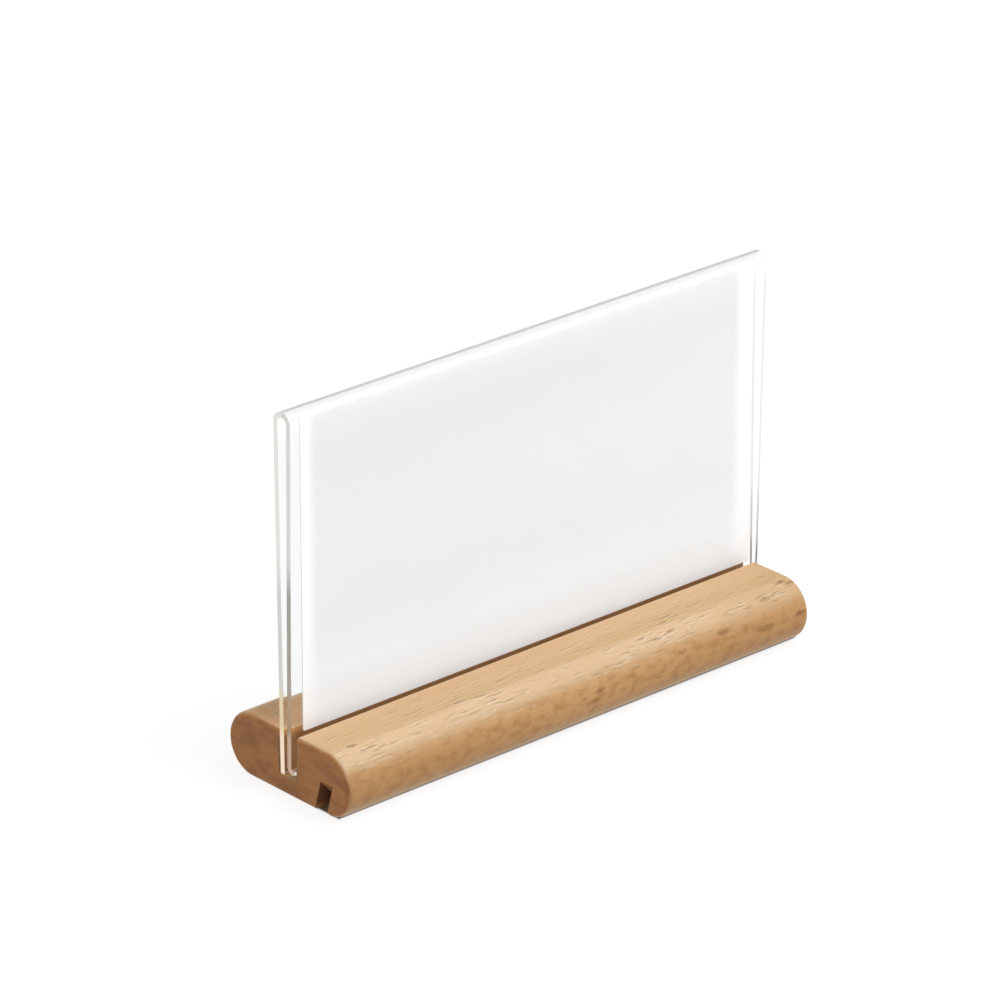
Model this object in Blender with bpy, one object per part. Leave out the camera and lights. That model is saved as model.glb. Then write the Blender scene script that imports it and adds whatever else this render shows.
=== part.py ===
# Sign holder: a beech bar, a folded clear acrylic sleeve that stands in the slot along its top,
# and a blank card between the legs of the sleeve. A slanted groove runs along the underside.
# Metres, +Z up, front towards -Y. The origin is on the table, in the middle of the whole piece.

import math

import bmesh
import bpy

# Fit between pieces that touch
FIT = 0.0003

# Beech bar: flat above and below, with a full round along its front and its back
BASE_LENGTH = 0.150
BASE_DEPTH = 0.044
BASE_HEIGHT = 0.0165
END_ROUND = 0.0015

# Slot along the top: the wood left under it, and the broken edge of its mouth
SLOT_FLOOR = 0.0050
SLOT_ARRIS = 0.0004

# Slanted groove along the underside: its inner end leans towards the front
GROOVE_WIDTH = 0.0040
GROOVE_DEPTH = 0.0080
GROOVE_LEAN = math.radians(15)
GROOVE_SETBACK = 0.0103  # from the front of the bar to the middle of the mouth
GROOVE_FRONT_ARRIS = 0.0015
GROOVE_BACK_ARRIS = 0.0010

# Card
CARD_LENGTH = 0.145
CARD_HEIGHT = 0.080
CARD_THICKNESS = 0.0003
CARD_SHIFT = 0.0013  # how far to the right of the sleeve's middle it lies

# Sleeve: one acrylic sheet folded over the card
SHEET = 0.0015
SIDE_MARGIN = 0.0035  # sleeve past each end of a card in its middle
CARD_REST = 0.0103  # from the sleeve's lowest point to the card, just below the slot's mouth
HEADROOM = 0.0007  # from the card's top edge to the inside of the fold
FOLD_GAP = 0.0030  # between the two legs, inside the fold
FOOT_BEND = math.radians(135)  # the front leg turns this far forwards at its lower end
FOOT_INNER_RADIUS = 0.0003
FOOT_LIFT = 0.0008  # the foot's lowest point above the back leg's lower edge

# Smoothness of the round stretches, and how far a cutter reaches past the wood
ARC_STEP = math.radians(3)
END_SEGMENTS = 6
CUT_PAST = 0.002
CUT_EXIT = math.radians(12)
SOFT_EDGE = math.radians(30)  # flatter edges than this are shaded round
END_EDGE = math.radians(60)  # sharper edges than this are the bar's ends

# Sizes that follow from the ones above
SLEEVE_LENGTH = CARD_LENGTH + 2 * SIDE_MARGIN
SLEEVE_HEIGHT = CARD_REST + CARD_HEIGHT + HEADROOM + SHEET
SLEEVE_BOTTOM = SLOT_FLOOR + FIT
SLOT_DEPTH = BASE_HEIGHT - SLOT_FLOOR
LEFT_END = -max(SLEEVE_LENGTH, BASE_LENGTH) / 2  # bar and sleeve are flush there
BASE_X = LEFT_END + BASE_LENGTH / 2
SLEEVE_X = LEFT_END + SLEEVE_LENGTH / 2
GROOVE_Y = -BASE_DEPTH / 2 + GROOVE_SETBACK
BAR_RADIUS = BASE_HEIGHT / 2
ROUND_START = BASE_DEPTH / 2 - BAR_RADIUS  # how far from the middle the flats end
LEG_OFFSET = (CARD_THICKNESS + 2 * FIT + SHEET) / 2  # card's plane to a leg's middle, at the bottom


def clear_scene():
    for obj in list(bpy.data.objects):
        bpy.data.objects.remove(obj, do_unlink=True)


def srgb(red, green, blue):
    """A colour as the eye sees it, 0 to 255, turned into the linear values that a shader takes."""
    linear = []
    for level in (red, green, blue):
        share = level / 255
        linear.append(share / 12.92 if share <= 0.04045 else ((share + 0.055) / 1.055) ** 2.4)
    return (*linear, 1.0)


def new_material(name, colour, roughness, transmission=0.0, ior=1.5):
    material = bpy.data.materials.new(name)
    material.use_nodes = True
    shader = material.node_tree.nodes["Principled BSDF"]
    shader.inputs["Base Color"].default_value = colour
    shader.inputs["Roughness"].default_value = roughness
    shader.inputs["Metallic"].default_value = 0.0
    shader.inputs["Transmission Weight"].default_value = transmission
    shader.inputs["IOR"].default_value = ior
    return material


def arc(centre, radius, start, sweep):
    """Points on an arc in the Y-Z plane, both ends included. Angles run from +Y towards +Z."""
    steps = max(2, math.ceil(abs(sweep) / ARC_STEP))
    points = []
    for index in range(steps + 1):
        angle = start + sweep * index / steps
        points.append((centre[0] + radius * math.cos(angle), centre[1] + radius * math.sin(angle)))
    return points


def extruded(name, outline, length):
    """A closed Y-Z outline drawn along X, centred on the object's origin."""
    bm = bmesh.new()
    corners = [bm.verts.new((-length / 2, y, z)) for y, z in outline]
    end_face = bm.faces.new(corners)
    grown = bmesh.ops.extrude_face_region(bm, geom=[end_face])
    moved = [item for item in grown["geom"] if isinstance(item, bmesh.types.BMVert)]
    bmesh.ops.translate(bm, verts=moved, vec=(length, 0, 0))
    bmesh.ops.recalc_face_normals(bm, faces=bm.faces)
    mesh = bpy.data.meshes.new(name)
    bm.to_mesh(mesh)
    bm.free()
    obj = bpy.data.objects.new(name, mesh)
    bpy.context.scene.collection.objects.link(obj)
    return obj


def shade_round(obj):
    obj.data.shade_smooth()
    obj.data.set_sharp_from_angle(angle=SOFT_EDGE)


def attach(child, parent):
    """The child then moves with its parent, and its location still counts from the origin."""
    bpy.context.view_layer.update()
    child.parent = parent
    child.matrix_parent_inverse = parent.matrix_world.inverted()


def bar_outline():
    """The bar's end: two half circles joined by the flat top and the flat underside."""
    back = arc((ROUND_START, BAR_RADIUS), BAR_RADIUS, -math.pi / 2, math.pi)
    front = arc((-ROUND_START, BAR_RADIUS), BAR_RADIUS, math.pi / 2, math.pi)
    return back + front


def lip(side, width, lean, radius, round_start):
    """One rounded edge of a channel's mouth, from the wall outwards, and the run-out past the surface.

    The surface is flat up to round_start, where the bar's full round begins on the +Y side.
    """
    inwards = (math.sin(lean), -math.cos(lean))
    offset = side * (width / 2 + radius)
    level = (offset * math.cos(lean), offset * math.sin(lean))
    down = (radius + level[1]) / math.cos(lean)
    centre = (level[0] + down * inwards[0], level[1] + down * inwards[1])
    touch = math.pi / 2
    if centre[0] > round_start:
        # The edge runs into the full round, so the two arcs touch from inside.
        apart = (level[0] - round_start, level[1] + BAR_RADIUS)
        along = apart[0] * inwards[0] + apart[1] * inwards[1]
        spare = apart[0] ** 2 + apart[1] ** 2 - (BAR_RADIUS - radius) ** 2
        down = -along - math.sqrt(along**2 - spare)
        centre = (level[0] + down * inwards[0], level[1] + down * inwards[1])
        touch = math.atan2(centre[1] + BAR_RADIUS, centre[0] - round_start)
    start = lean if side < 0 else lean + math.pi
    turned = -side
    sweep = touch - start - turned * CUT_EXIT
    points = arc(centre, radius, start, sweep)
    heading = start + sweep + turned * math.pi / 2
    end = (points[-1][0] + radius * math.cos(heading), points[-1][1] + radius * math.sin(heading))
    return [*points, end, (end[0], end[1] + CUT_PAST)]


def channel_outline(width, depth, lean, lips, round_start):
    """A channel's cutter. Its mouth lies at the origin and opens towards +Z, and its floor leans towards +Y.

    lips holds the radius of the mouth's edge on the -Y side and on the +Y side.
    """
    floor = []
    for side in (-1, 1):
        half = side * width / 2
        floor.append(
            (
                depth * math.sin(lean) + half * math.cos(lean),
                half * math.sin(lean) - depth * math.cos(lean),
            )
        )
    near = lip(-1, width, lean, lips[0], round_start)
    far = lip(1, width, lean, lips[1], round_start)
    return [floor[0], *near, *far[::-1], floor[1]]


def cut(body, name, outline, location, turn):
    """Cuts a channel along the whole body."""
    cutter = extruded(name, outline, BASE_LENGTH + 2 * CUT_PAST)
    cutter.location = location
    cutter.rotation_euler = (turn, 0, 0)
    cutter.hide_render = True
    cutter.display_type = "WIRE"
    modifier = body.modifiers.new(name, "BOOLEAN")
    modifier.operation = "DIFFERENCE"
    modifier.solver = "EXACT"
    modifier.object = cutter


def sleeve_centreline():
    """The folded sheet's middle line, from the back leg's lower edge over the fold to the foot's tip.

    Y counts from the card's plane and Z from the sleeve's lowest point. The legs draw together from
    the fold to the card. Each item is a point and the direction that the sheet runs there.
    """
    fold_radius = (FOLD_GAP + SHEET) / 2
    fold_height = SLEEVE_HEIGHT - SHEET / 2 - fold_radius
    reach = math.hypot(LEG_OFFSET, fold_height)
    lean = math.atan2(fold_height, LEG_OFFSET) - math.acos(fold_radius / reach)

    start_height = SHEET / 2 * math.sin(lean)
    up = math.pi / 2 - lean
    line = [((LEG_OFFSET + start_height * math.tan(lean), start_height), up)]
    fold = arc((0, fold_height), fold_radius, -lean, math.pi + 2 * lean)
    for index, point in enumerate(fold):
        line.append((point, up + (math.pi + 2 * lean) * index / (len(fold) - 1)))

    bend_radius = FOOT_INNER_RADIUS + SHEET / 2
    bend_height = FOOT_LIFT + bend_radius + SHEET / 2
    leg_end = bend_height + bend_radius * math.sin(lean)
    leg_y = -(LEG_OFFSET + leg_end * math.tan(lean))
    bend = arc((leg_y - bend_radius * math.cos(lean), bend_height), bend_radius, lean, -FOOT_BEND)
    down = 3 * math.pi / 2 + lean
    for index, point in enumerate(bend):
        line.append((point, down - FOOT_BEND * index / (len(bend) - 1)))
    return line, lean


def sleeve_outline(line):
    """Both faces of the sheet, half its thickness to each side of the middle line."""
    outer = []
    inner = []
    for (y, z), heading in line:
        side_y = math.sin(heading) * SHEET / 2
        side_z = -math.cos(heading) * SHEET / 2
        outer.append((y + side_y, z + side_z))
        inner.append((y - side_y, z - side_z))
    return outer + inner[::-1]


def slot_seat(outline, lean):
    """The slot's width and the card's plane in it.

    The back leg lies against the slot's back wall at the mouth, and the foot's tip against the front wall.
    """
    mouth = BASE_HEIGHT - SLEEVE_BOTTOM
    leg_face = LEG_OFFSET + mouth * math.tan(lean) + SHEET / 2 / math.cos(lean)
    tip = min(y for y, z in outline if z < mouth)
    width = leg_face + max(leg_face, -tip) + 2 * FIT
    return width, width / 2 - FIT - leg_face


def make_base(slot_width):
    base = extruded("base", bar_outline(), BASE_LENGTH)
    base.location = (BASE_X, 0, 0)
    base.data.materials.append(new_material("beech", srgb(222, 184, 140), 0.55))
    shade_round(base)
    ends = base.modifiers.new("rounded_ends", "BEVEL")
    ends.width = END_ROUND
    ends.segments = END_SEGMENTS
    ends.limit_method = "ANGLE"
    ends.angle_limit = END_EDGE
    ends.harden_normals = True
    slot = channel_outline(slot_width, SLOT_DEPTH, 0, (SLOT_ARRIS, SLOT_ARRIS), ROUND_START)
    cut(base, "slot", slot, (BASE_X, 0, BASE_HEIGHT), 0)
    # Turned half round about X, the cutter's +Y side lies at the front of the bar.
    lips = (GROOVE_BACK_ARRIS, GROOVE_FRONT_ARRIS)
    groove = channel_outline(GROOVE_WIDTH, GROOVE_DEPTH, GROOVE_LEAN, lips, ROUND_START + GROOVE_Y)
    cut(base, "slanted_groove", groove, (BASE_X, GROOVE_Y, 0), math.pi)
    return base


def make_sleeve(outline, card_plane):
    sleeve = extruded("sleeve", outline, SLEEVE_LENGTH)
    sleeve.location = (SLEEVE_X, card_plane, SLEEVE_BOTTOM)
    sleeve.data.materials.append(new_material("clear_acrylic", srgb(250, 251, 251), 0.03, 1.0, 1.49))
    shade_round(sleeve)
    return sleeve


def make_card(card_plane):
    half = CARD_THICKNESS / 2
    outline = [(-half, 0), (half, 0), (half, CARD_HEIGHT), (-half, CARD_HEIGHT)]
    card = extruded("card", outline, CARD_LENGTH)
    card.location = (SLEEVE_X + CARD_SHIFT, card_plane, SLEEVE_BOTTOM + CARD_REST)
    card.data.materials.append(new_material("card_paper", srgb(244, 244, 243), 0.6))
    return card


def main():
    clear_scene()
    line, lean = sleeve_centreline()
    outline = sleeve_outline(line)
    slot_width, card_plane = slot_seat(outline, lean)
    base = make_base(slot_width)
    sleeve = make_sleeve(outline, card_plane)
    card = make_card(card_plane)
    attach(sleeve, base)
    attach(card, sleeve)
    print(f"slot {slot_width * 1000:.2f} mm wide, card plane {card_plane * 1000:.2f} mm behind its middle")
    print(f"legs lean {math.degrees(lean):.2f} degrees")


main()
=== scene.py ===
import math

import bpy
from mathutils import Matrix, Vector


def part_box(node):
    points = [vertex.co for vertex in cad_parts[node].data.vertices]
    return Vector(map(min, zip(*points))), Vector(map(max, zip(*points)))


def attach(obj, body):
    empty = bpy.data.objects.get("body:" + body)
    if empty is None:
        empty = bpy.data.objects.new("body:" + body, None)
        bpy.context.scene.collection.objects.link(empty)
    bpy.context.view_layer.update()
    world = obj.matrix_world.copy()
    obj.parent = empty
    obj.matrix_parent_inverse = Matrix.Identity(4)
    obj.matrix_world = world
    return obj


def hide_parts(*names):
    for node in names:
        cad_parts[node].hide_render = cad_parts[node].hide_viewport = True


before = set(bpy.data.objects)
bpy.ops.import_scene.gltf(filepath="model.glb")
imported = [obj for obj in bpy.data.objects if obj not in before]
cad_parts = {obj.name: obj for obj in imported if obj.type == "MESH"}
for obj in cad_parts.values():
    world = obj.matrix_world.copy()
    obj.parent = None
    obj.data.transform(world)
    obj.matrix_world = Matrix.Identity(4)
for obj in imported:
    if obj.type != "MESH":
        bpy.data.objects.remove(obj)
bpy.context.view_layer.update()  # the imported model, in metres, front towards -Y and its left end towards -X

mm = 0.001
mergeWithin = 0.001 * mm  # points closer together than this become one
print("frame loaded:", ", ".join(sorted(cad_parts)))


# Small tools

def linear(hexColour):
    # an sRGB hex colour as the linear values that a shader takes
    levels = [int(hexColour[place:place + 2], 16) / 255 for place in (1, 3, 5)]
    return [v / 12.92 if v <= 0.04045 else ((v + 0.055) / 1.055) ** 2.4 for v in levels] + [1.0]


def addNode(tree, kind, inputs=None, **settings):
    # a node with its settings; an input takes a value, or another node's socket as a link
    node = tree.nodes.new(kind)
    for name, value in settings.items():
        setattr(node, name, value)
    for name, value in (inputs or {}).items():
        if isinstance(value, bpy.types.NodeSocket):
            tree.links.new(value, node.inputs[name])
        else:
            node.inputs[name].default_value = value
    return node


def editMode(on):
    bpy.ops.object.mode_set(mode="EDIT" if on else "OBJECT")


def traceOutline(name, x, start, strokes, arcStep):
    # draws an outline at x in the Y-Z plane: a stroke is a point to go to, or an arc's centre and turn
    bpy.ops.object.select_all(action="DESELECT")
    bpy.ops.mesh.primitive_plane_add(size=mm, location=(x, *start))
    piece = bpy.context.object
    piece.name = piece.data.name = name
    editMode(True)
    bpy.ops.mesh.select_mode(type="VERT")
    bpy.ops.mesh.merge(type="CENTER")
    y, z = start
    for stroke in strokes:
        if len(stroke) == 2:
            step = (0, stroke[0] - y, stroke[1] - z)
            bpy.ops.mesh.extrude_vertices_move(TRANSFORM_OT_translate={"value": step})
            y, z = stroke
            continue
        centreY, centreZ, turn = stroke
        # spin counts its angle the other way round the axis
        bpy.ops.mesh.spin(
            steps=max(3, math.ceil(abs(turn) / arcStep)), angle=-turn,
            center=(x, centreY, centreZ), axis=(1, 0, 0),
        )
        armY, armZ = y - centreY, z - centreZ
        y = centreY + armY * math.cos(turn) - armZ * math.sin(turn)
        z = centreZ + armY * math.sin(turn) + armZ * math.cos(turn)
    return piece


def fillAndDraw(length):
    # closes the traced outline with a face and draws it along X
    bpy.ops.mesh.select_all(action="SELECT")
    bpy.ops.mesh.remove_doubles(threshold=mergeWithin)
    bpy.ops.mesh.edge_face_add()
    bpy.ops.mesh.extrude_region_move(TRANSFORM_OT_translate={"value": (length, 0, 0)})
    bpy.ops.mesh.select_all(action="SELECT")
    bpy.ops.mesh.normals_make_consistent(inside=False)


def selectOnly(piece):
    bpy.ops.object.select_all(action="DESELECT")
    piece.select_set(True)
    bpy.context.view_layer.objects.active = piece


def applyPlace(piece):
    # the finished piece's object sits at the origin, with its place in its mesh
    selectOnly(piece)
    bpy.ops.object.transform_apply(location=True, rotation=True, scale=True)


def applyModifier(piece, kind, **settings):
    selectOnly(piece)
    modifier = piece.modifiers.new(kind.lower(), kind)
    for name, value in settings.items():
        setattr(modifier, name, value)
    bpy.ops.object.modifier_apply(modifier=modifier.name)


def shadeRound(piece, angle):
    selectOnly(piece)
    bpy.ops.object.shade_smooth_by_angle(angle=angle)


def evenShading(piece, angle):
    # rounded shading that stays flat on the large faces beside a bevel
    shadeRound(piece, angle)
    applyModifier(piece, "WEIGHTED_NORMAL", mode="FACE_AREA", weight=50, keep_sharp=True)


# Camera, fitted to the photograph's edges

camera = {
    "place": (-871.38 * mm, -952.34 * mm, 625.14 * mm),
    "yaw": math.radians(42.151),
    "pitch": math.radians(23.878),
    "roll": math.radians(0.194),
    "lens": 212.86,
    "sensor": 36.0,
    "clip": (0.05, 60),
}


def placeCamera(values):
    bpy.ops.object.camera_add(location=values["place"])
    shot = bpy.context.object
    shot.name = "photoCamera"
    shot.data.lens = values["lens"]
    shot.data.sensor_width = values["sensor"]
    shot.data.clip_start, shot.data.clip_end = values["clip"]
    turn = Matrix.Rotation(-values["yaw"], 4, "Z")
    turn = turn @ Matrix.Rotation(math.pi / 2 - values["pitch"], 4, "X")
    turn = turn @ Matrix.Rotation(values["roll"], 4, "Z")
    shot.matrix_world = Matrix.Translation(values["place"]) @ turn
    bpy.context.scene.camera = shot


placeCamera(camera)
print("camera placed")


# Beech bar: full rounds front and back, a slot on top for the sleeve and a slanted groove underneath

bar = {
    "length": 150 * mm,
    "depth": 44 * mm,
    "height": 16.5 * mm,
    "endRound": 1.5 * mm,
    "endSegments": 8,
    "slotWidth": 6.22 * mm,
    "slotFloor": 5.0 * mm,
    "slotArris": 0.4 * mm,
    "grooveWidth": 4.0 * mm,
    "grooveDepth": 8.0 * mm,
    "grooveLean": math.radians(15),
    "grooveSetback": 10.3 * mm,
    "grooveFrontArris": 1.5 * mm,
    "grooveBackArris": 1.0 * mm,
    "arcStep": math.radians(2.5),
    "lipStep": math.radians(7.5),
    "cutExit": math.radians(12),  # how far short of level a mouth's rounding stops
    "cutPast": 2 * mm,
    "brokenEdge": 0.3 * mm,  # the sanded edges of slot and groove at the bar's ends
    "endEdge": math.radians(60),  # sharper than this are the edges round the ends,
    "crispEdge": math.radians(50),  # than this the edges to be sanded,
    "softEdge": math.radians(40),  # and flatter than this what is shaded round
}
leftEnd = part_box("base")[0][0]


def lipArc(side, width, lean, radius, roundStart, height):
    # a mouth's rounded edge: the centre of its arc, where it starts and how far it turns
    inwards = (math.sin(lean), -math.cos(lean))
    offset = side * (width / 2 + radius)
    level = (offset * math.cos(lean), offset * math.sin(lean))
    down = (radius + level[1]) / math.cos(lean)
    centre = (level[0] + down * inwards[0], level[1] + down * inwards[1])
    touch = math.pi / 2
    if centre[0] > roundStart:
        # the edge runs into the full round, so the two arcs touch from inside
        apart = (level[0] - roundStart, level[1] + height / 2)
        along = apart[0] * inwards[0] + apart[1] * inwards[1]
        spare = apart[0] ** 2 + apart[1] ** 2 - (height / 2 - radius) ** 2
        down = -along - math.sqrt(along ** 2 - spare)
        centre = (level[0] + down * inwards[0], level[1] + down * inwards[1])
        touch = math.atan2(centre[1] + height / 2, centre[0] - roundStart)
    begin = lean if side < 0 else lean + math.pi
    return centre, begin, touch - begin + side * bar["cutExit"]


def channelCutter(name, width, depth, lean, lips, roundStart, mouth, flip):
    # the tool that cuts a channel along the bar; flip turns it over for the underside
    way = -1 if flip else 1

    def place(y, z):
        return (mouth[0] + way * y, mouth[1] + way * z)

    corners = []
    for side in (-1, 1):
        corners.append(place(
            depth * math.sin(lean) + side * width / 2 * math.cos(lean),
            side * width / 2 * math.sin(lean) - depth * math.cos(lean),
        ))
    strokes = []
    for side, radius in zip((-1, 1), lips):
        centre, begin, sweep = lipArc(side, width, lean, radius, roundStart, bar["height"])
        foot = (centre[0] + radius * math.cos(begin), centre[1] + radius * math.sin(begin))
        end = begin + sweep
        tip = (centre[0] + radius * math.cos(end), centre[1] + radius * math.sin(end))
        heading = end - side * math.pi / 2
        out = (tip[0] + radius * math.cos(heading), tip[1] + radius * math.sin(heading))
        strokes.append((foot, centre, sweep, tip, out))
    (footA, centreA, sweepA, tipA, outA), (footB, centreB, sweepB, tipB, outB) = strokes
    path = [
        place(*footA),
        (*place(*centreA), sweepA),
        place(*outA),
        place(outA[0], outA[1] + bar["cutPast"]),
        place(outB[0], outB[1] + bar["cutPast"]),
        place(*outB),
        place(*tipB),
        (*place(*centreB), -sweepB),
        corners[1],
        corners[0],
    ]
    cutter = traceOutline(name, leftEnd - bar["cutPast"], corners[0], path, bar["lipStep"])
    fillAndDraw(bar["length"] + 2 * bar["cutPast"])
    editMode(False)
    applyPlace(cutter)
    return cutter


def makeBar():
    radius = bar["height"] / 2
    flat = bar["depth"] / 2 - radius
    strokes = [
        (flat, radius, math.pi),
        (-flat, bar["height"]),
        (-flat, radius, math.pi),
        (flat, 0),
    ]
    piece = traceOutline("beechBar", leftEnd, (flat, 0), strokes, bar["arcStep"])
    fillAndDraw(bar["length"])
    # the edges round both ends
    bpy.ops.mesh.select_mode(type="EDGE")
    bpy.ops.mesh.select_all(action="DESELECT")
    bpy.ops.mesh.edges_select_sharp(sharpness=bar["endEdge"])
    bpy.ops.mesh.bevel(
        offset=bar["endRound"], offset_type="OFFSET", segments=bar["endSegments"],
        profile=0.5, affect="EDGES", clamp_overlap=False,
    )
    editMode(False)
    applyPlace(piece)
    slot = channelCutter(
        "slotCutter", bar["slotWidth"], bar["height"] - bar["slotFloor"], 0,
        (bar["slotArris"], bar["slotArris"]), flat, (0, bar["height"]), False,
    )
    grooveY = -bar["depth"] / 2 + bar["grooveSetback"]
    groove = channelCutter(
        "grooveCutter", bar["grooveWidth"], bar["grooveDepth"], bar["grooveLean"],
        (bar["grooveBackArris"], bar["grooveFrontArris"]), flat + grooveY, (grooveY, 0), True,
    )
    for cutter in (slot, groove):
        applyModifier(piece, "BOOLEAN", operation="DIFFERENCE", solver="EXACT", object=cutter)
        bpy.data.objects.remove(cutter, do_unlink=True)
    return piece


beechBar = makeBar()
print("beech bar made:", len(beechBar.data.polygons), "faces")


def sandEdges(piece):
    # the crisp edges that the cutters left at both ends, lightly sanded
    applyModifier(
        piece, "BEVEL", width=bar["brokenEdge"], segments=2, limit_method="ANGLE",
        angle_limit=bar["crispEdge"], use_clamp_overlap=True, harden_normals=False,
    )
    evenShading(piece, bar["softEdge"])


sandEdges(beechBar)


# Acrylic sleeve: one sheet folded double, its front leg turned forwards at the bottom as a small foot

sleeve = {
    "length": 152 * mm,
    "height": 92.5 * mm,
    "bottom": 5.3 * mm,
    "sheet": 1.5 * mm,
    "foldGap": 3.0 * mm,
    "legOffset": 1.2 * mm,  # from the card's plane to the middle of a leg at the bottom
    "footTurn": math.radians(135),
    "footInnerRadius": 0.3 * mm,
    "footLift": 0.8 * mm,
    "arcStep": math.radians(3),
    "cutEdge": 0.12 * mm,
    "crispEdge": math.radians(60),
    "softEdge": math.radians(35),
}
cardLow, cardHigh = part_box("card")
cardPlane = (cardLow[1] + cardHigh[1]) / 2


def makeSleeve():
    sheet = sleeve["sheet"]
    bottom = sleeve["bottom"]
    foldRadius = (sleeve["foldGap"] + sheet) / 2
    foldHeight = sleeve["height"] - sheet / 2 - foldRadius
    reach = math.hypot(sleeve["legOffset"], foldHeight)
    lean = math.atan2(foldHeight, sleeve["legOffset"]) - math.acos(foldRadius / reach)
    startHeight = sheet / 2 * math.sin(lean)
    start = (cardPlane + sleeve["legOffset"] + startHeight * math.tan(lean), bottom + startHeight)
    bendRadius = sleeve["footInnerRadius"] + sheet / 2
    bendHeight = sleeve["footLift"] + bendRadius + sheet / 2
    legEnd = bendHeight + bendRadius * math.sin(lean)
    legY = -(sleeve["legOffset"] + legEnd * math.tan(lean))
    strokes = [
        (cardPlane + foldRadius * math.cos(lean), bottom + foldHeight - foldRadius * math.sin(lean)),
        (cardPlane, bottom + foldHeight, math.pi + 2 * lean),
        (cardPlane + legY, bottom + legEnd),
        (cardPlane + legY - bendRadius * math.cos(lean), bottom + bendHeight, -sleeve["footTurn"]),
    ]
    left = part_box("sleeve")[0][0]
    piece = traceOutline("acrylicSleeve", left, start, strokes, sleeve["arcStep"])
    bpy.ops.mesh.select_all(action="SELECT")
    bpy.ops.mesh.extrude_edges_move(TRANSFORM_OT_translate={"value": (sleeve["length"], 0, 0)})
    bpy.ops.mesh.select_all(action="SELECT")
    bpy.ops.mesh.remove_doubles(threshold=mergeWithin)
    editMode(False)
    applyPlace(piece)
    applyModifier(piece, "SOLIDIFY", thickness=sheet, offset=0, use_even_offset=True)
    editMode(True)
    bpy.ops.mesh.select_mode(type="EDGE")
    bpy.ops.mesh.select_all(action="SELECT")
    bpy.ops.mesh.normals_make_consistent(inside=False)
    bpy.ops.mesh.select_all(action="DESELECT")
    bpy.ops.mesh.edges_select_sharp(sharpness=sleeve["crispEdge"])
    bpy.ops.mesh.bevel(
        offset=sleeve["cutEdge"], offset_type="OFFSET", segments=2, profile=0.5, affect="EDGES",
    )
    editMode(False)
    evenShading(piece, sleeve["softEdge"])
    return piece


acrylicSleeve = makeSleeve()
print("acrylic sleeve made:", len(acrylicSleeve.data.polygons), "faces")


# Card between the legs

card = {
    "length": 145 * mm,
    "height": 80 * mm,
    "thickness": 0.3 * mm,
    "cornerRadius": 0.4 * mm,
    "softEdge": math.radians(35),
}


def makeCard():
    middle = ((cardLow[0] + cardHigh[0]) / 2, cardPlane, (cardLow[2] + cardHigh[2]) / 2)
    bpy.ops.object.select_all(action="DESELECT")
    bpy.ops.mesh.primitive_plane_add(size=1, location=middle, rotation=(math.pi / 2, 0, 0))
    piece = bpy.context.object
    piece.name = piece.data.name = "blankCard"
    editMode(True)
    bpy.ops.mesh.select_mode(type="VERT")
    bpy.ops.transform.resize(value=(card["length"], 1, card["height"]))
    bpy.ops.mesh.bevel(
        offset=card["cornerRadius"], offset_type="OFFSET", segments=3, profile=0.5, affect="VERTICES",
    )
    editMode(False)
    applyPlace(piece)
    applyModifier(piece, "SOLIDIFY", thickness=card["thickness"], offset=0, use_even_offset=True)
    shadeRound(piece, card["softEdge"])
    return piece


blankCard = makeCard()
print("card made:", len(blankCard.data.polygons), "faces")


# Materials. The grain runs along X. A mask is soft ramps and other masks multiplied together: a ramp is
# what it reads, where it starts and ends, and its values there where they aren't 0 and 1. A stack is a
# colour and the colours laid over it, each through its mask

def newMaterial(name):
    material = bpy.data.materials.new(name)
    material.use_nodes = True
    material.node_tree.nodes.clear()
    return material, material.node_tree


def layOut(tree, sources, look):
    # makes a look's masks and stacks, and gives back both by name
    masks = dict(sources)
    for name, parts in look["masks"].items():
        product = None
        for part in parts:
            if isinstance(part, str):
                factor = masks[part]
            else:
                source, start, end, low, high = part if len(part) == 5 else (*part, 0.0, 1.0)
                ramp = addNode(tree, "ShaderNodeMapRange", {
                    "Value": masks[source], "From Min": start, "From Max": end,
                    "To Min": low, "To Max": high,
                }, interpolation_type="SMOOTHSTEP")
                factor = ramp.outputs["Result"]
            if product is not None:
                both = addNode(tree, "ShaderNodeMath", {0: product, 1: factor}, operation="MULTIPLY")
                factor = both.outputs[0]
            product = factor
        masks[name] = product
    colours = {}
    for name, (base, *layers) in look["stacks"].items():
        colour = colours[base] if base in colours else linear(look[base])
        for mask, over in layers:
            mix = addNode(tree, "ShaderNodeMix", {
                0: masks[mask], 6: colour, 7: colours[over] if over in colours else linear(look[over]),
            }, data_type="RGBA")
            colour = mix.outputs[2]
        colours[name] = colour
    return masks, colours


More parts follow.
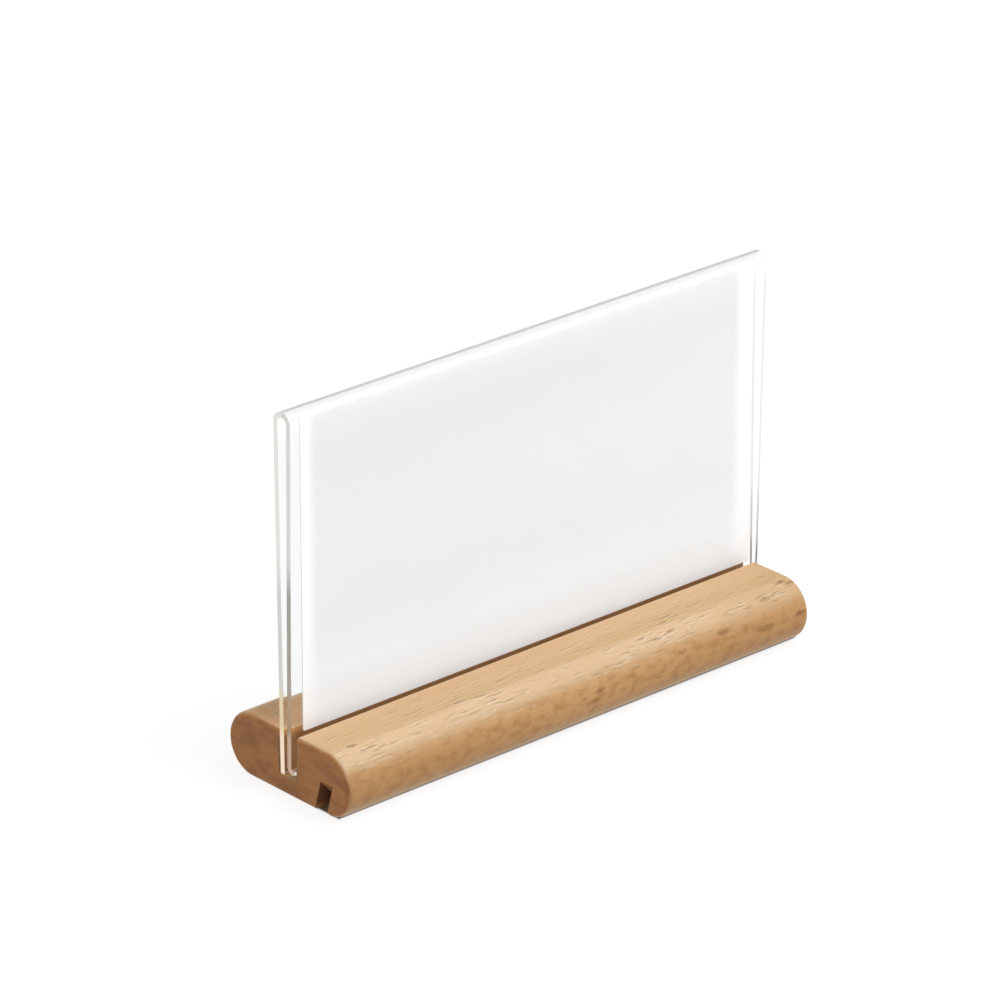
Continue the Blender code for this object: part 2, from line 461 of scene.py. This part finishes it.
beech = {
    "face": "#dab382",
    "pale": "#e4c49a",
    "peach": "#e3b688",
    # a painted highlight along the front's upper rounding
    "shoulder": "#ecc8a0",
    "side": "#e2ac71",
    "sideDeep": "#bf864e",
    # painted warm light on the top's back strip, which lies in shade
    "backStrip": "#f2ab74",
    "end": "#c18044",
    "endDeep": "#a66a37",
    "fleck": "#a3754a",
    "fleckLight": "#f6e0c2",
    "mark": "#82542a",
    # browned by the cutter's rubbing, with painted shade in slot and groove
    "burnish": "#9a7a58",
    "burnishDeep": "#935f3b",
    "roughness": 0.52,
    "dullRoughness": 0.9,  # of the dark flecks and the insides of slot and groove
    "wanderSize": (40, 9, 9),  # mm
    "wanderBy": (0, 1.6 * mm, 1.6 * mm),
    # places of the darker marks: X, Y, Z and length in mm, then strength
    "marks": (
        (69.8, -15.7, 16.3, 2.6, 0.7),
        (72.2, -16.8, 15.9, 2.8, 0.55),
        (61.4, -18.3, 15.1, 2.6, 0.45),
        (70.8, -21.9, 9.7, 2.6, 0.7),
        (59.0, -21.9, 9.3, 3.4, 0.55),
        (45.2, -21.0, 12.2, 3.2, 0.5),
        (31.0, -21.4, 11.4, 2.6, 0.4),
        (3.5, -21.8, 10.1, 2.4, 0.6),
        (2.0, -22.0, 7.8, 2.2, 0.45),
        (-69.1, -14.8, 16.4, 2.2, 0.6),
    ),
    "markRagged": (2.0, 0.9, 0.9),  # mm, how far a mark's outline strays
    # each pattern's size along X, Y and Z in mm, its place along Y, and its detail. Beech has ray flecks
    # 2 to 4 mm long; most are thinner than a pixel here, so they are drawn 0.3 to 0.5 mm thick
    "patterns": {
        "darkRays": ((4.8, 0.66, 0.66), 0.0, 1.0),
        "paleRays": ((4.8, 0.66, 0.66), 0.5, 1.0),  # one in front of each dark one
        "fibre": ((5.0, 0.5, 0.5), 0.0, 2.0),
        "growth": ((110, 5.0, 3.2), 0.0, 2.0),
        "mottle": ((3.4, 2.4, 2.4), 0.0, 5.0),
        "rings": ((30, 8, 3.2), 0.0, 3.0),
        "crowd": ((22, 8, 8), 0.0, 1.0),
    },
    "masks": {
        "growthBands": [("growth", 0.4, 0.64, 0.0, 0.6)],
        "nearSlot": [("offMiddle", 10 * mm, 4 * mm, 0.0, 0.6)],
        # the top's back strip is painted warmer and lighter: painted warm light in its shade
        "paintedWarmLightAtBack": [("y", 4 * mm, 6 * mm, 0.0, 0.45)],
        # a painted highlight along the front's upper rounding, weaker towards the right end
        "paintedHighlightOnShoulder": [
            ("sideways", 0.02, 0.3), ("sideways", 0.9, 0.55, 0.0, 0.85), ("x", 30 * mm, 65 * mm, 1.0, 0.3),
        ],
        "onSide": [("sideways", 0.66, 1.0)],
        "sideMottle": ["onSide", ("mottle", 0.4, 0.74, 0.0, 0.75)],
        "sideLeft": ["onSide", ("x", 0.0, -60 * mm, 0.0, 0.3)],
        "sideRight": ["onSide", ("x", 5 * mm, 55 * mm, 0.0, 0.22)],
        "nearRightEnd": [("x", 50 * mm, 75 * mm, 0.0, 0.2)],
        "onEnd": [("endways", 0.35, 0.9)],
        "endRings": ["onEnd", ("rings", 0.38, 0.66)],
        "fibres": [("sideways", 0.5, 0.9, 0.14, 0.05), ("fibre", 0.5, 0.8)],
        # the flecks lie in drifts, with fewer of them near the slot and on the rounds, and none on the ends
        "drift": [
            ("crowd", 0.3, 0.6, 0.35, 1.0), ("offMiddle", 4 * mm, 12 * mm, 0.45, 1.0),
            ("sideways", 0.4, 0.9, 1.0, 0.4), ("endways", 0.05, 0.3, 1.0, 0.0),
        ],
        "paleFleck": [
            "drift", ("paleRays", 0.53, 0.7, 0.0, 0.85),
            ("sideways", 0.75, 0.95, 1.0, 0.15), ("sideways", 0.0, 0.3, 0.55, 1.0),
        ],
        "darkFleck": ["drift", ("darkRays", 0.54, 0.74, 0.0, 0.66)],
        # slot and groove are browned where the cutter rubbed them, and are painted darker the deeper they go:
        # painted shade
        "inSlot": [
            ("offMiddle", 3.5 * mm, 3.25 * mm), ("z", 16.4 * mm, 13.5 * mm),
            ("z", 4.7 * mm, 4.95 * mm), ("z", 5.02 * mm, 5.6 * mm, 0.6, 1.0),
        ],
        "inGroove": [
            ("offGroove", 2.25 * mm, 2.05 * mm), ("z", 0.2 * mm, 2.5 * mm), ("z", 8.6 * mm, 8.3 * mm),
        ],
    },
    "stacks": {
        "wood": (
            "face", ("growthBands", "pale"), ("nearSlot", "peach"), ("paintedWarmLightAtBack", "backStrip"),
            ("paintedHighlightOnShoulder", "shoulder"), ("onSide", "side"), ("sideMottle", "sideDeep"),
            ("sideLeft", "sideDeep"), ("sideRight", "sideDeep"), ("nearRightEnd", "side"),
            ("onEnd", "end"), ("endRings", "endDeep"), ("fibres", "fleckLight"),
            ("paleFleck", "fleckLight"), ("darkFleck", "fleck"), ("marked", "mark"),
            ("inSlot", "burnish"), ("inGroove", "burnishDeep"),
        ),
    },
}


def oiledBeech():
    # flat-sawn beech, sanded and oiled: short dark ray flecks with a pale one beside each on the flats,
    # mottled rays on the rounds, brown end grain, and a low satin sheen; a painted highlight along the
    # front's upper rounding, painted warm light on the back of the top, and painted shade deep in slot and
    # groove
    material, tree = newMaterial("oiledBeech")
    spot = addNode(tree, "ShaderNodeTexCoord")
    place = addNode(tree, "ShaderNodeSeparateXYZ", {0: spot.outputs["Object"]})
    facing = addNode(tree, "ShaderNodeSeparateXYZ", {0: spot.outputs["Normal"]})
    sources = {"x": place.outputs["X"], "y": place.outputs["Y"], "z": place.outputs["Z"]}
    for name, value in (
        ("sideways", facing.outputs["Y"]),
        ("endways", facing.outputs["X"]),
        ("offMiddle", place.outputs["Y"]),
    ):
        sources[name] = addNode(tree, "ShaderNodeMath", {0: value}, operation="ABSOLUTE").outputs[0]

    # the grain wanders up to half a millimetre off straight, over about 40 mm
    slow = addNode(tree, "ShaderNodeMapping", {
        "Vector": spot.outputs["Object"], "Scale": tuple(1000 / length for length in beech["wanderSize"]),
    })
    wander = addNode(tree, "ShaderNodeTexNoise", {"Vector": slow.outputs[0], "Scale": 1.0, "Detail": 1.0})
    centred = addNode(tree, "ShaderNodeVectorMath", {
        0: wander.outputs["Color"], 1: (0.5, 0.5, 0.5),
    }, operation="SUBTRACT")
    shift = addNode(tree, "ShaderNodeVectorMath", {
        0: centred.outputs[0], 1: beech["wanderBy"],
    }, operation="MULTIPLY")
    grain = addNode(tree, "ShaderNodeVectorMath", {
        0: spot.outputs["Object"], 1: shift.outputs[0],
    }, operation="ADD").outputs[0]
    for name, (size, move, detail) in beech["patterns"].items():
        spread = addNode(tree, "ShaderNodeMapping", {
            "Vector": grain, "Location": (0, move, 0), "Scale": tuple(1000 / length for length in size),
        })
        noise = addNode(tree, "ShaderNodeTexNoise", {
            "Vector": spread.outputs[0], "Scale": 1.0, "Detail": detail,
        })
        sources[name] = noise.outputs["Fac"]

    # darker marks in the wood, each where one lies, their outlines made ragged by lumps of about 1 mm
    lumps = addNode(tree, "ShaderNodeTexNoise", {
        "Vector": spot.outputs["Object"], "Scale": 900.0, "Detail": 2.0,
    })
    ragged = addNode(tree, "ShaderNodeVectorMath", {
        0: lumps.outputs["Color"], 1: tuple(stray * mm for stray in beech["markRagged"]),
    }, operation="MULTIPLY")
    loose = addNode(tree, "ShaderNodeVectorMath", {
        0: spot.outputs["Object"], 1: ragged.outputs[0],
    }, operation="ADD")
    marked = 0.0
    for *middle, length, strength in beech["marks"]:
        size = (1000 / length, 1000 / (length * 0.3), 1000 / (length * 0.4))
        scaled = addNode(tree, "ShaderNodeMapping", {"Vector": loose.outputs[0], "Scale": size})
        centre = tuple(
            (at + stray / 2) * mm * scale for at, stray, scale in zip(middle, beech["markRagged"], size)
        )
        away = addNode(tree, "ShaderNodeVectorMath", {
            0: scaled.outputs[0], 1: centre,
        }, operation="DISTANCE")
        mark = addNode(tree, "ShaderNodeMapRange", {
            "Value": away.outputs["Value"], "From Min": 1.0, "From Max": 0.2,
            "To Min": 0.0, "To Max": strength,
        }, interpolation_type="SMOOTHSTEP")
        marked = addNode(tree, "ShaderNodeMath", {
            0: marked, 1: mark.outputs["Result"],
        }, operation="MAXIMUM").outputs[0]
    sources["marked"] = marked

    # how far a place lies from the middle plane of the leaning groove
    leant = addNode(tree, "ShaderNodeVectorMath", {
        0: spot.outputs["Object"], 1: (0, math.cos(bar["grooveLean"]), math.sin(bar["grooveLean"])),
    }, operation="DOT_PRODUCT")
    grooveY = (bar["grooveSetback"] - bar["depth"] / 2) * math.cos(bar["grooveLean"])
    offGroove = addNode(tree, "ShaderNodeMath", {
        0: leant.outputs["Value"], 1: grooveY,
    }, operation="SUBTRACT")
    offGroove = addNode(tree, "ShaderNodeMath", {0: offGroove.outputs[0]}, operation="ABSOLUTE")
    sources["offGroove"] = offGroove.outputs[0]

    masks, colours = layOut(tree, sources, beech)
    dull = masks["darkFleck"]
    for inside in ("inSlot", "inGroove"):
        dull = addNode(tree, "ShaderNodeMath", {0: dull, 1: masks[inside]}, operation="MAXIMUM").outputs[0]
    rough = addNode(tree, "ShaderNodeMapRange", {
        "Value": dull, "To Min": beech["roughness"], "To Max": beech["dullRoughness"],
    }, interpolation_type="SMOOTHSTEP")
    height = addNode(tree, "ShaderNodeMath", {
        0: sources["fibre"], 1: masks["darkFleck"],
    }, operation="SUBTRACT")
    bump = addNode(tree, "ShaderNodeBump", {
        "Height": height.outputs[0], "Strength": 0.35, "Distance": 0.04 * mm,
    })
    shader = addNode(tree, "ShaderNodeBsdfPrincipled", {
        "Base Color": colours["wood"], "Roughness": rough.outputs["Result"],
        "IOR": 1.5, "Specular IOR Level": 0.35, "Normal": bump.outputs["Normal"],
    })
    addNode(tree, "ShaderNodeOutputMaterial", {"Surface": shader.outputs["BSDF"]})
    return material


acrylic = {
    "clear": "#fefefe",
    "clearBack": "#f7f7f7",  # the back leg is drawn a little greyer, so the sleeve shows against white
    "gloss": "#4d4d4d",  # its flat faces mirror less than bare acrylic would, so the card reads clearly
    "shade": "#fdfdfd",
    "caught": "#f4f4f2",  # light that has bounced about inside the sheet
    # painted glow below: the crest's grey line, the fold's painted highlight, and the cut ends' glow with
    # painted shade and the wood's painted reflection
    "crest": "#cbccc8",
    "fold": "#ffffff",
    "front": "#d2d3ce",
    "frontLow": "#9a948f",
    "frontMouth": "#a88f72",
    "frontInSlot": "#c3a58e",
    "back": "#e0e1dc",
    "backLow": "#cfccc8",
    "backMouth": "#e0cfa9",
    "backInSlot": "#fae2ca",
    "far": "#eeeeee",
    "farLow": "#cdc9c6",
    "farMouth": "#95958f",
    "deepest": 6,  # bounces inside the sheet after which its own glow is taken
    "ownGlow": 0.92,  # how much of the cut ends' and the crest's look is their own glow
    "waveSize": (45, 45, 30),  # mm
    "masks": {
        "backLeg": [("y", cardPlane - 0.3 * mm, cardPlane + 0.3 * mm)],
        "backBelowFold": ["backLeg", ("z", 92 * mm, 89 * mm)],
        "nearFold": [("z", 86 * mm, 92 * mm)],
        "low": [("z", 62 * mm, 50 * mm)],
        "atMouth": [("z", 28.5 * mm, 24.5 * mm)],
        "inSlot": [("z", 17.5 * mm, 15 * mm)],
        "farEnd": [("x", 0.0, 60 * mm)],
        "farHigh": [("z", 90 * mm, 94 * mm)],
        "farBelow": [("z", 38 * mm, 28 * mm)],
        "farAtMouth": [("z", 23 * mm, 18 * mm)],
        "cutEnd": [("endways", 0.6, 0.9)],
        # a painted grey line along the crest, for the camera only, standing in for the glass's darker edge
        "onCrest": [("z", 97.7 * mm, 97.76 * mm), "camera"],
        # below the crest's line the front of the fold is painted white for the camera: a painted highlight
        "onFold": [
            ("z", 96.1 * mm, 96.6 * mm),
            ("y", cardPlane - 0.8 * mm, cardPlane - 1.1 * mm, 0.0, 0.8), "camera",
        ],
    },
    # the cut ends are painted with a glow that stands in for piped light: at the near end the front leg's
    # edge is painted darker towards the wood and the back leg's stays pale, and both are painted in the
    # wood's colour at the slot as its reflection; the far end's edges show only low down
    "stacks": {
        "body": ("clear", ("backBelowFold", "clearBack")),
        "mirror": ("gloss", ("nearFold", "clear")),
        "paintedFrontGlow": ("front", ("low", "frontLow"), ("atMouth", "frontMouth"), ("inSlot", "frontInSlot")),
        "paintedBackGlow": ("back", ("low", "backLow"), ("atMouth", "backMouth"), ("inSlot", "backInSlot")),
        "paintedFarGlow": ("far", ("farHigh", "clear"), ("farBelow", "farLow"), ("farAtMouth", "farMouth")),
        "paintedEndGlow": ("paintedFrontGlow", ("backLeg", "paintedBackGlow"), ("farEnd", "paintedFarGlow")),
        "paintedGlow": (
            "caught", ("inSlot", "frontInSlot"), ("onFold", "fold"), ("onCrest", "crest"),
            ("cutEnd", "paintedEndGlow"),
        ),
    },
}


def polishedAcrylic():
    # cast acrylic sheet, heat-folded, with polished faces: clear and colourless, with cut ends painted with a
    # soft glow that stands in for the light piped through the sheet
    material, tree = newMaterial("polishedAcrylic")
    spot = addNode(tree, "ShaderNodeTexCoord")
    place = addNode(tree, "ShaderNodeSeparateXYZ", {0: spot.outputs["Object"]})
    facing = addNode(tree, "ShaderNodeSeparateXYZ", {0: spot.outputs["Normal"]})
    endways = addNode(tree, "ShaderNodeMath", {0: facing.outputs["X"]}, operation="ABSOLUTE")
    path = addNode(tree, "ShaderNodeLightPath")
    masks, colours = layOut(tree, {
        "x": place.outputs["X"], "y": place.outputs["Y"], "z": place.outputs["Z"],
        "endways": endways.outputs[0], "camera": path.outputs["Is Camera Ray"],
    }, acrylic)

    # the sheet's faces wave by a few hundredths of a millimetre over about 40 mm
    slow = addNode(tree, "ShaderNodeMapping", {
        "Vector": spot.outputs["Object"], "Scale": tuple(1000 / length for length in acrylic["waveSize"]),
    })
    wave = addNode(tree, "ShaderNodeTexNoise", {"Vector": slow.outputs[0], "Scale": 1.0, "Detail": 1.0})
    bump = addNode(tree, "ShaderNodeBump", {
        "Height": wave.outputs["Fac"], "Strength": 0.2, "Distance": 0.05 * mm,
    })
    glass = addNode(tree, "ShaderNodeBsdfPrincipled", {
        "Base Color": colours["body"], "Roughness": 0.0, "IOR": 1.49, "Transmission Weight": 1.0,
        "Specular Tint": colours["mirror"], "Normal": bump.outputs["Normal"],
    })

    # the cut ends, the crest and the fold are painted with a glow of their own, painted light, and so are
    # rays caught in the sheet
    glow = addNode(tree, "ShaderNodeEmission", {"Color": colours["paintedGlow"]})
    caught = addNode(tree, "ShaderNodeMath", {
        0: path.outputs["Ray Depth"], 1: acrylic["deepest"] - 0.5,
    }, operation="GREATER_THAN")
    shown = masks["cutEnd"]
    for part in ("onCrest", "onFold"):
        shown = addNode(tree, "ShaderNodeMath", {0: shown, 1: masks[part]}, operation="MAXIMUM").outputs[0]
    shown = addNode(tree, "ShaderNodeMath", {0: shown, 1: acrylic["ownGlow"]}, operation="MULTIPLY")
    shown = addNode(tree, "ShaderNodeMath", {
        0: shown.outputs[0], 1: caught.outputs[0],
    }, operation="MAXIMUM")
    sheet = addNode(tree, "ShaderNodeMixShader", {
        0: shown.outputs[0], 1: glass.outputs[0], 2: glow.outputs[0],
    })
    shadow = addNode(tree, "ShaderNodeBsdfTransparent", {"Color": linear(acrylic["shade"])})
    outer = addNode(tree, "ShaderNodeMixShader", {
        0: path.outputs["Is Shadow Ray"], 1: sheet.outputs[0], 2: shadow.outputs[0],
    })
    addNode(tree, "ShaderNodeOutputMaterial", {"Surface": outer.outputs[0]})
    return material


paper = {
    "field": "#ececec",
    # painted shade near the top and painted light near the slot, laid over the printed field
    "fieldHigh": "#e8e8e8",
    "fieldLow": "#f6f9fb",
    "border": "#ffffff",
    "fibre": "#e8e8e8",
    "masks": {
        "printed": [
            ("x", -70.4 * mm, -66.0 * mm), ("x", 71.4 * mm, 66.8 * mm), ("z", 95.8 * mm, 93.5 * mm),
            ("facing", -0.5, -0.9),
        ],
        "high": [("z", 62 * mm, 86 * mm)],
        "low": [("z", 45 * mm, 14 * mm)],
        "fibres": [("noise", 0.4, 0.8, 0.0, 0.12)],
        "rough": [("noise", 0.3, 0.7, 0.55, 0.68)],
        # in the sleeve the white surroundings reach the card through the clear sheet; drawn out of it, a
        # little glow of its own keeps it as light
        "bareGlow": [("depth", 0.5, 0.4, 0.0, 0.24)],
    },
    "stacks": {
        # the printed field is painted paler towards the slot, painted light where less light reaches it, and
        # greyer near the top, painted shade
        "ground": ("field", ("high", "fieldHigh"), ("low", "fieldLow")),
        "face": ("border", ("printed", "ground"), ("fibres", "fibre")),
    },
}


def printedCard():
    # uncoated card, 0.3 mm: a blank pale grey field that fades into a white border
    material, tree = newMaterial("printedCard")
    spot = addNode(tree, "ShaderNodeTexCoord")
    place = addNode(tree, "ShaderNodeSeparateXYZ", {0: spot.outputs["Object"]})
    facing = addNode(tree, "ShaderNodeSeparateXYZ", {0: spot.outputs["Normal"]})
    path = addNode(tree, "ShaderNodeLightPath")
    # paper fibres, 0.05 mm in the real card, are drawn at 0.4 mm so that a trace of them shows
    noise = addNode(tree, "ShaderNodeTexNoise", {
        "Vector": spot.outputs["Object"], "Scale": 1000 / 0.4, "Detail": 3.0,
    })
    masks, colours = layOut(tree, {
        "x": place.outputs["X"], "z": place.outputs["Z"], "facing": facing.outputs["Y"],
        "noise": noise.outputs["Fac"], "depth": path.outputs["Transmission Depth"],
    }, paper)
    bump = addNode(tree, "ShaderNodeBump", {
        "Height": noise.outputs["Fac"], "Strength": 0.1, "Distance": 0.02 * mm,
    })
    shader = addNode(tree, "ShaderNodeBsdfPrincipled", {
        "Base Color": colours["face"], "Roughness": masks["rough"], "Normal": bump.outputs["Normal"],
        "Emission Color": colours["face"], "Emission Strength": masks["bareGlow"],
    })
    addNode(tree, "ShaderNodeOutputMaterial", {"Surface": shader.outputs["BSDF"]})
    return material


def dress(piece, material, body, node):
    piece.data.materials.clear()
    piece.data.materials.append(material)
    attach(piece, body)
    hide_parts(node)


dress(beechBar, oiledBeech(), "base", "base")
dress(acrylicSleeve, polishedAcrylic(), "sleeve", "sleeve")
dress(blankCard, printedCard(), "card", "card")
print("materials made")


# Floor, world and light

studio = {
    "floorSize": 12.0,
    "floorPlace": (0, 0, -0.02 * mm),
    "floorColour": "#858585",
    "glowColour": "#ffffff",
    "underColour": "#3a281a",
    "floorGlow": 0.85,
    "floorBounce": 0.28,
    "underBar": (74.2 * mm, 16.2 * mm, 0),  # half the part of the floor that the bar keeps dark
    "sky": 0.38,
    "panelSize": 1.2,
    "keyPlace": (0.5, -0.72, 1.3),
    "keyWatts": 15.5,
    "fillPlace": (-0.95, 0.6, 1.1),
    "fillWatts": 3.5,
    # the glow stops under the bar, where only a little light comes, brown off the wood
    "masks": {"besideBar": [("away", 0.0, 1.0 * mm)]},
    "stacks": {"lit": ("underColour", ("besideBar", "glowColour"))},
}


def plainlySeen(tree):
    # 1 for what the camera sees, also in a reflection or through the sheet, and 0 for light on the object
    path = addNode(tree, "ShaderNodeLightPath")
    seen = path.outputs["Is Camera Ray"]
    for kind in ("Is Glossy Ray", "Is Transmission Ray"):
        either = addNode(tree, "ShaderNodeMath", {0: seen, 1: path.outputs[kind]}, operation="MAXIMUM")
        seen = either.outputs[0]
    return seen


def makeFloor():
    bpy.ops.object.select_all(action="DESELECT")
    bpy.ops.mesh.primitive_plane_add(size=studio["floorSize"], location=studio["floorPlace"])
    floor = bpy.context.object
    floor.name = "floor"
    material, tree = newMaterial("paleFloor")
    spot = addNode(tree, "ShaderNodeTexCoord")
    across = addNode(tree, "ShaderNodeVectorMath", {0: spot.outputs["Object"]}, operation="ABSOLUTE")
    beside = addNode(tree, "ShaderNodeVectorMath", {
        0: across.outputs[0], 1: studio["underBar"],
    }, operation="SUBTRACT")
    beside = addNode(tree, "ShaderNodeSeparateXYZ", {0: beside.outputs[0]})
    away = addNode(tree, "ShaderNodeMath", {
        0: beside.outputs["X"], 1: beside.outputs["Y"],
    }, operation="MAXIMUM")
    colours = layOut(tree, {"away": away.outputs[0]}, studio)[1]
    glow = addNode(tree, "ShaderNodeMapRange", {
        "Value": plainlySeen(tree), "To Min": studio["floorBounce"], "To Max": studio["floorGlow"],
    })
    light = addNode(tree, "ShaderNodeEmission", {"Color": colours["lit"], "Strength": glow.outputs[0]})
    paint = addNode(tree, "ShaderNodeBsdfDiffuse", {"Color": linear(studio["floorColour"])})
    both = addNode(tree, "ShaderNodeAddShader", {0: paint.outputs[0], 1: light.outputs[0]})
    addNode(tree, "ShaderNodeOutputMaterial", {"Surface": both.outputs[0]})
    floor.data.materials.append(material)


def makeWorld():
    world = bpy.data.worlds.new("paleStudio")
    bpy.context.scene.world = world
    world.use_nodes = True
    tree = world.node_tree
    tree.nodes.clear()
    strength = addNode(tree, "ShaderNodeMapRange", {
        "Value": plainlySeen(tree), "To Min": studio["sky"], "To Max": 1.0,
    })
    sky = addNode(tree, "ShaderNodeBackground", {"Strength": strength.outputs[0]})
    addNode(tree, "ShaderNodeOutputWorld", {"Surface": sky.outputs[0]})


def makePanel(name, place, watts):
    # a square soft light that faces the object
    bpy.ops.object.light_add(type="AREA", location=place)
    panel = bpy.context.object
    panel.name = name
    panel.data.shape = "SQUARE"
    panel.data.size = studio["panelSize"]
    panel.data.energy = watts
    aim = panel.location.normalized()
    panel.rotation_mode = "QUATERNION"
    panel.rotation_quaternion = aim.to_track_quat("Z", "Y")


makeFloor()
makeWorld()
makePanel("keyPanel", studio["keyPlace"], studio["keyWatts"])
makePanel("fillPanel", studio["fillPlace"], studio["fillWatts"])
bpy.context.scene.view_settings.view_transform = "Standard"
print("floor, world and light made")
